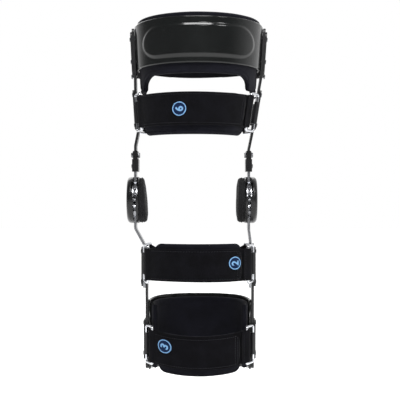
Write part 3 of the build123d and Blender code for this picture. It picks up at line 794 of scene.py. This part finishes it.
# ---------------------------------------------------------------- straps
class StrapForm:
    """Where a strap runs: an ellipse through both its bars, tipped about them where it climbs."""

    def __init__(self, strap, bars, climb=0.0, hold=0.0, grip=None):
        sizes = bpy.context.scene.brace_sizes
        low, high = BOXES[strap]
        self.strap = strap
        self.body = BODY_OF[strap]
        self.way = -1 if low.y + high.y < 0 else 1
        self.bars = bars
        self.z = sum(end.z for bar in bars.values() for end in bar) / 4
        self.bar_y = abs(bars[LEFT][0].y)
        self.climb = math.radians(climb)
        self.half_layer = sizes.webbing_thickness / 2
        self.near = self.half_layer + 0.12 * MM
        self.far = grip or sizes.wire_radius + 0.08 * MM + self.half_layer
        self.hold = hold
        reach = max(abs(low.y), abs(high.y)) - 2.2 * MM * math.cos(self.climb)
        self.depth = self.bar_y + (reach - self.bar_y) / math.cos(self.climb)

    def ellipse(self, z):
        xs = []
        for side in (LEFT, RIGHT):
            first, second = self.bars[side]
            share = (z - first.z) / (second.z - first.z)
            xs.append(first.x + (second.x - first.x) * share)
        half = (xs[1] - xs[0]) / 2
        return (xs[0] + xs[1]) / 2, half / math.sqrt(1 - (self.bar_y / self.depth) ** 2), self.depth

    @property
    def limit(self):
        return math.acos(self.bar_y / self.depth)

    def place(self, angle, h, offset):
        """World point: angle round the leg, height across the strap, offset away from the leg."""
        z = self.z + h
        x, y = ellipse_point(*self.ellipse(z), angle, offset, self.way)
        beyond = y - self.way * self.bar_y
        y = self.way * self.bar_y + beyond * math.cos(self.climb)
        return Vector((x, y, z + beyond * math.sin(self.climb)))

    def flare(self, angle):
        """Distance of a layer's middle from the ellipse: layers part where they go round a bar."""
        left = (self.limit - abs(angle)) * self.depth
        spread = 1 - smoothstep(self.hold, self.hold + 9 * MM, left)
        return self.near + (self.far - self.near) * spread

    def stations(self, tails):
        """The strap from tail to tail, as (angle, offset, tangential shift)."""
        path = []
        left_tail, right_tail = tails
        for angle in spaced(left_tail, -self.limit, 60):
            path.append((angle, self.flare(angle)))
        for turn in spaced(0, math.pi, 14)[1:-1]:
            path.append((-self.limit - self.far * math.sin(turn) / self.depth, self.far * math.cos(turn)))
        for angle in spaced(-self.limit, self.limit, 120):
            path.append((angle, -self.flare(angle)))
        for turn in spaced(0, math.pi, 14)[1:-1]:
            path.append((self.limit + self.far * math.sin(turn) / self.depth, -self.far * math.cos(turn)))
        for angle in spaced(self.limit, right_tail, 60):
            path.append((angle, self.flare(angle)))
        return path


def strap_piece(name, form, tails, seed, replaced):
    """Webbing that goes round both bars and closes on itself."""
    sizes = bpy.context.scene.brace_sizes
    path = form.stations(tails)
    count = len(path)
    section = rounded_section(sizes.webbing_width, sizes.webbing_thickness, 0.8 * MM, 16, 3)
    half = sizes.webbing_width / 2

    def centre(index, h):
        angle, offset = path[index]
        return form.place(angle, h, offset)

    def place(index, h, d):
        before, after = max(index - 1, 0), min(index + 1, count - 1)
        end_left = min(index, count - 1 - index) * 1.1 * MM
        rounding = 1 - corner_cut(min(end_left, 9 * MM), 9 * MM) / half
        h *= rounding
        along = centre(after, h) - centre(before, h)
        across = centre(index, h + 0.5 * MM) - centre(index, h - 0.5 * MM)
        normal = along.cross(across).normalized() * form.way
        base = centre(index, h)
        ripple = wander(base, 42, 0.35 * MM, seed) + wander(base, 130, 0.12 * MM, seed + 5)
        thin = 1 - 0.25 * smoothstep(half - 2.2 * MM, half, abs(h))
        sag = Vector((0, 0, wander(base, 18, 0.5 * MM, seed + 2)))
        return base + normal * (d * thin + ripple * 0.4) + sag

    verts, faces = skin_along(range(count), section, place)
    piece = new_piece(name, verts, faces, form.body, "strap_fabric")
    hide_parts(replaced)
    return piece


def strap_stitches(name, form, tails):
    """Two rows of stitches along the strap's edges and a box where each tail ends."""
    sizes = bpy.context.scene.brace_sizes
    half = sizes.webbing_width / 2 - 2.6 * MM
    left_tail, right_tail = tails
    rows = []
    outer = form.near + form.half_layer + 0.1 * MM
    for h in (-half, half):
        inset = 3 * MM / form.depth
        for first, last in ((-form.limit * 0.86, left_tail - inset), (right_tail + inset, form.limit * 0.86)):
            angles = spaced(first, last, max(4, int(abs(last - first) * form.depth / (0.45 * MM))))
            rows.append([(angle, h) for angle in angles])
    for tail, step in ((left_tail, -1), (right_tail, 1)):
        for inset in (3.0 * MM, 6.0 * MM):
            angle = tail + step * inset / form.depth
            rows.append([(angle, h) for h in spaced(-half, half, 80)])
    verts, faces = [], []
    length = sizes.stitch_length
    for row in rows:
        points = [form.place(angle, h, outer) for angle, h in row]
        tops = [form.place(angle, h, outer + 1 * MM) for angle, h in row]
        normals = [(top - point).normalized() for top, point in zip(tops, points)]
        start, travelled = 0, 0.0
        for i in range(1, len(points)):
            travelled += (points[i] - points[i - 1]).length
            if travelled >= length:
                first, second = points[start], points[i]
                trim = (second - first).normalized() * 0.45 * MM
                add_capsule(verts, faces, first + trim, second - trim, normals[start], 0.3 * MM)
                start, travelled = i, 0.0
    return new_piece(name, verts, faces, form.body, "strap_fabric", finish="thread")


def slot_bars():
    """Rear edge of the slot in each strap tab, low and high."""
    bars = {}
    for side in (LEFT, RIGHT):
        node = f"strap_tab_{SIDE_NAMES[side]}"
        low, high = BOXES[node]
        edge_y = high.y - 5.2 * MM
        mid_z = (low.z + high.z) / 2
        near = [p for p in node_points(node) if abs(p.y - edge_y) < 2.0 * MM and abs(p.z - mid_z) < 21 * MM]
        ends = []
        for way in (-1, 1):
            group = [p for p in near if (p.z - mid_z) * way > 10 * MM]
            ends.append(sum(group, Vector()) / len(group))
        bars[side] = ends
    y = sum(end.y for ends in bars.values() for end in ends) / 4
    for ends in bars.values():
        for end in ends:
            end.y = y
    return bars


STRAPS = {}


def strap_forms():
    rings = {
        "strap_6": ("strap_6_rings", 0.0),
        "strap_4": ("strap_4_rings", 20.0),
        "strap_2": ("strap_2_rings", 0.0),
        "strap_1": ("strap_1_rings", -22.0),
        "strap_3": ("strap_3_rings", 13.0),
    }
    for strap, (node, climb) in rings.items():
        bars = {side: free_bar(node, side) for side in (LEFT, RIGHT)}
        STRAPS[strap] = StrapForm(strap, bars, climb)
    STRAPS["strap_5"] = StrapForm("strap_5", slot_bars(), 0.0, hold=7 * MM, grip=2.1 * MM)


def angle_at(form, x):
    """Angle round the leg at which a strap stands at x."""
    centre, half, _ = form.ellipse(form.z)
    return math.asin(max(-0.99, min(0.99, (x - centre) / half)))


def make_straps():
    """Straps with their tails: how far, in X, each tail comes back from its bar."""
    tail_x = {
        "strap_6": (58 * MM, 60 * MM),
        "strap_2": (55 * MM, 57 * MM),
        "strap_3": (53 * MM, 55 * MM),
        "strap_4": (-14 * MM, 22 * MM),
        "strap_1": (-12 * MM, 24 * MM),
        "strap_5": (-20 * MM, 30 * MM),
    }
    for seed, (strap, xs) in enumerate(tail_x.items()):
        form = STRAPS[strap]
        tails = [angle_at(form, x) for x in xs]
        number = strap[-1]
        strap_piece(f"Strap{number}", form, tails, seed * 3 + 1, strap)
        strap_stitches(f"Strap{number}Stitches", form, tails)


# ---------------------------------------------------------------- strap pads
def make_strap_pads():
    for number, seed in (("6", 21), ("2", 27), ("3", 33)):
        form = STRAPS[f"strap_{number}"]
        node = f"strap_{number}_pad"
        low, high = BOXES[node]
        thickness = 5.5 * MM if number == "6" else 4.5 * MM
        mid, half = (low.z + high.z) / 2 - form.z, (high.z - low.z) / 2
        section = rounded_section(2 * half, thickness, thickness / 2, 30, 5)
        centre, wide, _ = form.ellipse(form.z)
        limit = math.asin(min(0.98, (high.x - low.x) / 2 / (wide - 5 * MM)))
        offset = -2.5 * MM - thickness / 2

        def place(angle, h, d, limit=limit, half=half, mid=mid, form=form, offset=offset, seed=seed):
            left = (limit - abs(angle)) * form.depth
            shrink = 1 - corner_cut(left, 10 * MM) / half
            squeeze = math.sqrt(max(0.0, min(1.0, left / (3 * MM)))) * 0.7 + 0.3
            point = form.place(angle, mid + h * shrink, offset)
            edge = seam_dip(half - abs(h), 4.2 * MM, 1.5 * MM)
            bulge = 0.7 * MM * (1 - (h / half) ** 2) if d < 0 else 0.0
            puff = wander(point, 60, 0.4 * MM, seed) - edge * 0.8 * MM
            sign = -1 if d < 0 else 1
            free = 1.0 if (d < 0 or abs(h) > 18 * MM) else 0.2
            return form.place(angle, mid + h * shrink, offset + d * squeeze + sign * puff * free - bulge)

        verts, faces = skin_along(end_stations(limit, 130, 0.6), section, place)
        piece = new_piece(f"Strap{number}Pad", verts, faces, form.body, "lining_fabric")
        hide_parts(node)


# ---------------------------------------------------------------- labels
def make_labels():
    """Round woven labels with a ring and the strap's number."""
    turns = {"6": 90, "2": 90, "3": 75}
    for number, turn in turns.items():
        node = f"label_{number}"
        form = STRAPS[f"strap_{number}"]
        low, high = BOXES[node]
        centre = (low + high) / 2
        radius = (high.z - low.z) / 2
        outer = form.near + form.half_layer + 0.25 * MM
        middle = angle_at(form, centre.x)
        droop = form.place(middle, 0, outer).z - form.z

        def on_strap(x, z, out, form=form, middle=middle, height=centre.z - form.z - droop, outer=outer):
            angle = middle + x / (form.depth * 0.98)
            return form.place(angle, height + z, outer + out)

        disc_piece(f"Label{number}", on_strap, radius, form.body, node)
        ring_piece(f"Label{number}Ring", on_strap, radius * 0.97, 1.1 * MM, form.body)
        numeral_piece(f"Label{number}Numeral", number, turn, on_strap, radius, form.body)


def disc_piece(name, on_strap, radius, body, node):
    verts, faces = [on_strap(0, 0, 0.35 * MM)], []
    count = 64
    rings = [(0.3, 0.35), (0.6, 0.35), (0.88, 0.35), (0.97, 0.3), (1.0, 0.12), (1.0, -0.1)]
    for share, lift in rings:
        for k in range(count):
            angle = 2 * math.pi * k / count
            reach = radius * share
            verts.append(on_strap(reach * math.cos(angle), reach * math.sin(angle), lift * MM))
    faces += [(0, 1 + k, 1 + (k + 1) % count) for k in range(count)]
    for level in range(len(rings) - 1):
        for k in range(count):
            a, b = 1 + level * count + k, 1 + level * count + (k + 1) % count
            faces.append((a, a + count, b + count, b))
    last = 1 + (len(rings) - 1) * count
    faces.append(tuple(last + k for k in range(count)))
    piece = new_piece(name, verts, faces, body, "printed_label")
    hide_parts(node)


def ring_piece(name, on_strap, radius, width, body):
    verts, faces = [], []
    count = 72
    profile = [(0, 0.3), (0.15, 0.5), (0.5, 0.58), (0.85, 0.5), (1, 0.3)]
    for share, lift in profile:
        for k in range(count):
            angle = 2 * math.pi * k / count
            reach = radius - width * share
            verts.append(on_strap(reach * math.cos(angle), reach * math.sin(angle), lift * MM))
    for level in range(len(profile) - 1):
        for k in range(count):
            a, b = level * count + k, level * count + (k + 1) % count
            faces.append((a, b, b + count, a + count))
    new_piece(name, verts, faces, body, "printed_label", finish="print")


def numeral_piece(name, number, turn, on_strap, radius, body):
    """The numeral, laid on the strap's curve."""
    bpy.ops.object.text_add()
    text = bpy.context.object
    text.data.body = number
    text.data.size = 1.0
    text.data.extrude = 0.04
    text.data.bevel_depth = 0.012
    text.data.offset = 0.018
    text.data.resolution_u = 8
    bpy.context.view_layer.update()
    mesh = bpy.data.meshes.new_from_object(text.evaluated_get(bpy.context.evaluated_depsgraph_get()))
    bpy.data.objects.remove(text)
    xs = [v.co.x for v in mesh.vertices]
    ys = [v.co.y for v in mesh.vertices]
    scale = radius * 1.12 / (max(ys) - min(ys))
    middle = Vector(((max(xs) + min(xs)) / 2, (max(ys) + min(ys)) / 2, 0))
    swing = math.radians(turn)
    verts = []
    for v in mesh.vertices:
        flat = (v.co - middle) * scale
        x = flat.x * math.cos(swing) - flat.y * math.sin(swing)
        z = flat.x * math.sin(swing) + flat.y * math.cos(swing)
        verts.append(on_strap(x, z, 0.42 * MM + v.co.z * 3 * MM))
    faces = [tuple(p.vertices) for p in mesh.polygons]
    bpy.data.meshes.remove(mesh)
    new_piece(name, verts, faces, body, "printed_label", finish="print", smooth=False)


# ---------------------------------------------------------------- hinges
def condyle_pad(side):
    """Crowned round pad with a piped edge; its knee side follows the wedge of its solid."""
    name = SIDE_NAMES[side]
    node = f"condyle_pad_{name}"
    low, high = BOXES[node]
    radius = (high.z - low.z) / 2
    back = max(abs(low.x), abs(high.x)) - 0.1 * MM
    front = min(abs(low.x), abs(high.x))
    thin, thick = (5.6 * MM, 9.9 * MM) if side == LEFT else (8.6 * MM, 9.5 * MM)
    count, rings = 120, 40
    verts, faces = [], []

    def depth_at(z):
        return thick + (thin - thick) * (z + radius) / (2 * radius)

    for i in range(rings + 1):
        share = i / rings
        for k in range(count):
            angle = 2 * math.pi * k / count
            y, z = math.cos(angle), math.sin(angle)
            if share <= 0.5:
                reach = radius * (share / 0.5)
                crown = 1 - (share / 0.5) ** 6
                soft = 0.55 + 0.45 * crown ** 0.5
                depth = depth_at(z * reach) * soft
                dimple = 0.5 * MM * math.exp(-((reach / (4 * MM)) ** 2))
                groove = 0.7 * MM * math.exp(-(((reach - radius * 0.8) / (1.1 * MM)) ** 2))
                wave = wander((0, y * reach, z * reach), 70, 0.25 * MM, 40 + side)
                x = back - depth + dimple + groove + wave
            else:
                turn = (share - 0.5) / 0.5
                lean = depth_at(z * radius) * 0.55
                reach = radius - 0.9 * MM * math.sin(math.pi * turn) ** 2 * 0.6
                x = back - lean * (1 - turn)
            verts.append(Vector((side * max(x, front), y * max(reach, 0.02 * MM), z * max(reach, 0.02 * MM))))
    for i in range(rings):
        for k in range(count):
            a, b = i * count + k, i * count + (k + 1) % count
            faces.append((a, b, b + count, a + count))
    faces.append(tuple(rings * count + k for k in range(count)))
    faces.append(tuple(range(count)))
    piece = new_piece(f"CondylePad_{name}", verts, faces, f"hinge_{name}", "condyle_foam")
    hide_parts(node)
    seam = (back - depth_at(0) * 0.32, radius + 0.1 * MM)
    piping(f"CondylePadPiping_{name}", side, seam, 0.9 * MM, f"hinge_{name}")


def piping(name, side, at, thickness, body):
    """Round piping sewn into a pad's edge."""
    x, radius = at
    verts, faces = [], []
    around, across = 120, 10
    for k in range(around):
        angle = 2 * math.pi * k / around
        for j in range(across):
            turn = 2 * math.pi * j / across
            reach = radius - thickness * 0.6 + thickness * math.cos(turn)
            out = side * (x + thickness * math.sin(turn))
            verts.append(Vector((out, reach * math.cos(angle), reach * math.sin(angle))))
    for k in range(around):
        for j in range(across):
            a = k * across + j
            b = k * across + (j + 1) % across
            c = ((k + 1) % around) * across + (j + 1) % across
            d = ((k + 1) % around) * across + j
            faces.append((a, b, c, d))
    new_piece(name, verts, faces, body, "condyle_foam")


# ---------------------------------------------------------------- stage
def aim(thing, target):
    thing.rotation_euler = (Vector(target) - thing.location).to_track_quat("-Z", "Y").to_euler()


def soft_light(name, place, size, power, target=(0, 0, 0), mirrored=True):
    """A rectangular softbox; one that isn't mirrored leaves no shape of its own on the gloss."""
    data = bpy.data.lights.new(name, "AREA")
    data.shape = "RECTANGLE"
    data.size, data.size_y = size
    data.energy = power
    light = bpy.data.objects.new(name, data)
    light.location = place
    light.visible_glossy = mirrored
    bpy.context.scene.collection.objects.link(light)
    aim(light, target)


def make_world():
    """A white backdrop behind the brace that falls off to a dimmer room in front and on the left."""
    world = bpy.data.worlds.new("StudioWorld")
    bpy.context.scene.world = world
    world.use_nodes = True
    nodes, links = world.node_tree.nodes, world.node_tree.links
    directions = nodes.new("ShaderNodeTexCoord")
    parts = nodes.new("ShaderNodeSeparateXYZ")
    levels = nodes.new("ShaderNodeMapRange")
    levels.interpolation_type = "SMOOTHSTEP"
    for name, value in (("From Min", -0.2), ("From Max", 0.85), ("To Min", 0.2), ("To Max", 1.0)):
        levels.inputs[name].default_value = value
    lean = nodes.new("ShaderNodeMath")
    lean.operation = "MULTIPLY_ADD"
    lean.inputs[1].default_value = 0.5
    links.new(directions.outputs["Generated"], parts.inputs["Vector"])
    links.new(parts.outputs["X"], lean.inputs[0])
    links.new(parts.outputs["Y"], lean.inputs[2])
    links.new(lean.outputs["Value"], levels.inputs["Value"])
    links.new(levels.outputs["Result"], nodes["Background"].inputs["Strength"])
    nodes["Background"].inputs["Color"].default_value = (1, 1, 1, 1)


def make_stage():
    scene = bpy.context.scene
    scene.view_settings.view_transform = "Standard"
    floor_z = CAD_BOX[0].z - 0.05
    bpy.ops.mesh.primitive_plane_add(size=14, location=(0, 0, floor_z))
    floor = bpy.context.object
    floor.name = "StudioFloor"
    paint = Finish("FloorPaint", Roughness=0.8)
    paint.set(Base_Color=paint.mix(paint.grain(3, 3), (0.9, 0.9, 0.9), (0.94, 0.94, 0.94)))
    paint.shader.inputs["Emission Color"].default_value = (1, 1, 1, 1)
    paint.shader.inputs["Emission Strength"].default_value = 0.62
    paint.shader.inputs["Specular IOR Level"].default_value = 0.0
    floor.data.materials.append(paint.material)
    make_world()

    soft_light("TopSoftbox", (-0.02, -0.9, 1.2), (1.0, 0.35), 24, (0, 0, 0.1))
    soft_light("CornerSoftbox", (0.95, -0.95, 0.95), (0.35, 0.35), 6, (0, 0, 0.1))
    soft_light("RightSoftbox", (1.3, 0.15, 0.45), (0.7, 1.2), 5, (0, 0, 0.05), mirrored=False)
    soft_light("LeftSoftbox", (-1.3, 0.3, 0.4), (0.5, 1.1), 2, (0, 0, 0), mirrored=False)
    soft_light("FrontFill", (0.35, -2.2, 1.0), (0.5, 0.3), 7, (0, 0, 0))
    soft_light("BackSoftbox", (-0.2, 1.3, 0.9), (1.4, 0.8), 8, (0, 0, 0))

    data = bpy.data.cameras.new("StudioCamera")
    data.lens = 84.6
    data.sensor_width = 36
    camera = bpy.data.objects.new("StudioCamera", data)
    camera.location = (9.2 * MM, -1.1, 0.0)
    camera.rotation_euler = (math.pi / 2, 0, 0)
    scene.collection.objects.link(camera)
    scene.camera = camera


# ---------------------------------------------------------------- operators
class BRACE_OT_stage(bpy.types.Operator):
    """Make the floor, the studio light and the camera"""

    bl_idname = "brace.stage"
    bl_label = "Studio"

    def execute(self, context):
        make_stage()
        return {"FINISHED"}


class BRACE_OT_finishes(bpy.types.Operator):
    """Make every finish and give each frame part its own"""

    bl_idname = "brace.finishes"
    bl_label = "Finishes"

    def execute(self, context):
        make_finishes()
        for name, node in NODES.items():
            node.data.materials.clear()
            node.data.materials.append(FINISHES[SLOT_OF[name]])
        return {"FINISHED"}


class BRACE_OT_shells(bpy.types.Operator):
    """Mould the rigid thigh and calf cuffs"""

    bl_idname = "brace.shells"
    bl_label = "Cuff shells"

    def execute(self, context):
        thigh_shell()
        calf_shell()
        return {"FINISHED"}


class BRACE_OT_liners(bpy.types.Operator):
    """Sew the padded liners of both cuffs"""

    bl_idname = "brace.liners"
    bl_label = "Cuff liners"

    def execute(self, context):
        thigh_liner()
        calf_liner()
        return {"FINISHED"}


class BRACE_OT_straps(bpy.types.Operator):
    """Thread the six straps through their rings and tabs"""

    bl_idname = "brace.straps"
    bl_label = "Straps"

    def execute(self, context):
        strap_forms()
        make_straps()
        return {"FINISHED"}


class BRACE_OT_strap_pads(bpy.types.Operator):
    """Sew the pads of the three front straps"""

    bl_idname = "brace.strap_pads"
    bl_label = "Strap pads"

    def execute(self, context):
        make_strap_pads()
        return {"FINISHED"}


class BRACE_OT_labels(bpy.types.Operator):
    """Make the numbered labels of the front straps"""

    bl_idname = "brace.labels"
    bl_label = "Labels"

    def execute(self, context):
        make_labels()
        return {"FINISHED"}


class BRACE_OT_hinge_pads(bpy.types.Operator):
    """Make the soft condyle pads"""

    bl_idname = "brace.hinge_pads"
    bl_label = "Condyle pads"

    def execute(self, context):
        for side in (LEFT, RIGHT):
            condyle_pad(side)
        return {"FINISHED"}


STEPS = (
    BRACE_OT_finishes,
    BRACE_OT_shells,
    BRACE_OT_liners,
    BRACE_OT_straps,
    BRACE_OT_strap_pads,
    BRACE_OT_labels,
    BRACE_OT_hinge_pads,
    BRACE_OT_stage,
)


class BRACE_PT_panel(bpy.types.Panel):
    """Lists the steps that build the brace"""

    bl_label = "Knee brace"
    bl_idname = "BRACE_PT_panel"
    bl_space_type = "VIEW_3D"
    bl_region_type = "UI"
    bl_category = "Brace"

    def draw(self, context):
        for step in STEPS:
            self.layout.operator(step.bl_idname)
        for settings in (context.scene.brace_sizes, context.scene.brace_colours):
            for name in settings.__annotations__:
                self.layout.prop(settings, name)


CLASSES = (BraceSizes, BraceColours, *STEPS, BRACE_PT_panel)


def register():
    for each in CLASSES:
        bpy.utils.register_class(each)
    bpy.types.Scene.brace_sizes = bpy.props.PointerProperty(type=BraceSizes)
    bpy.types.Scene.brace_colours = bpy.props.PointerProperty(type=BraceColours)


def unregister():
    del bpy.types.Scene.brace_colours
    del bpy.types.Scene.brace_sizes
    for each in reversed(CLASSES):
        bpy.utils.unregister_class(each)


def main():
    register()
    for step in STEPS:
        area, name = step.bl_idname.split(".")
        getattr(getattr(bpy.ops, area), name)()


if __name__ == "__main__":
    main()
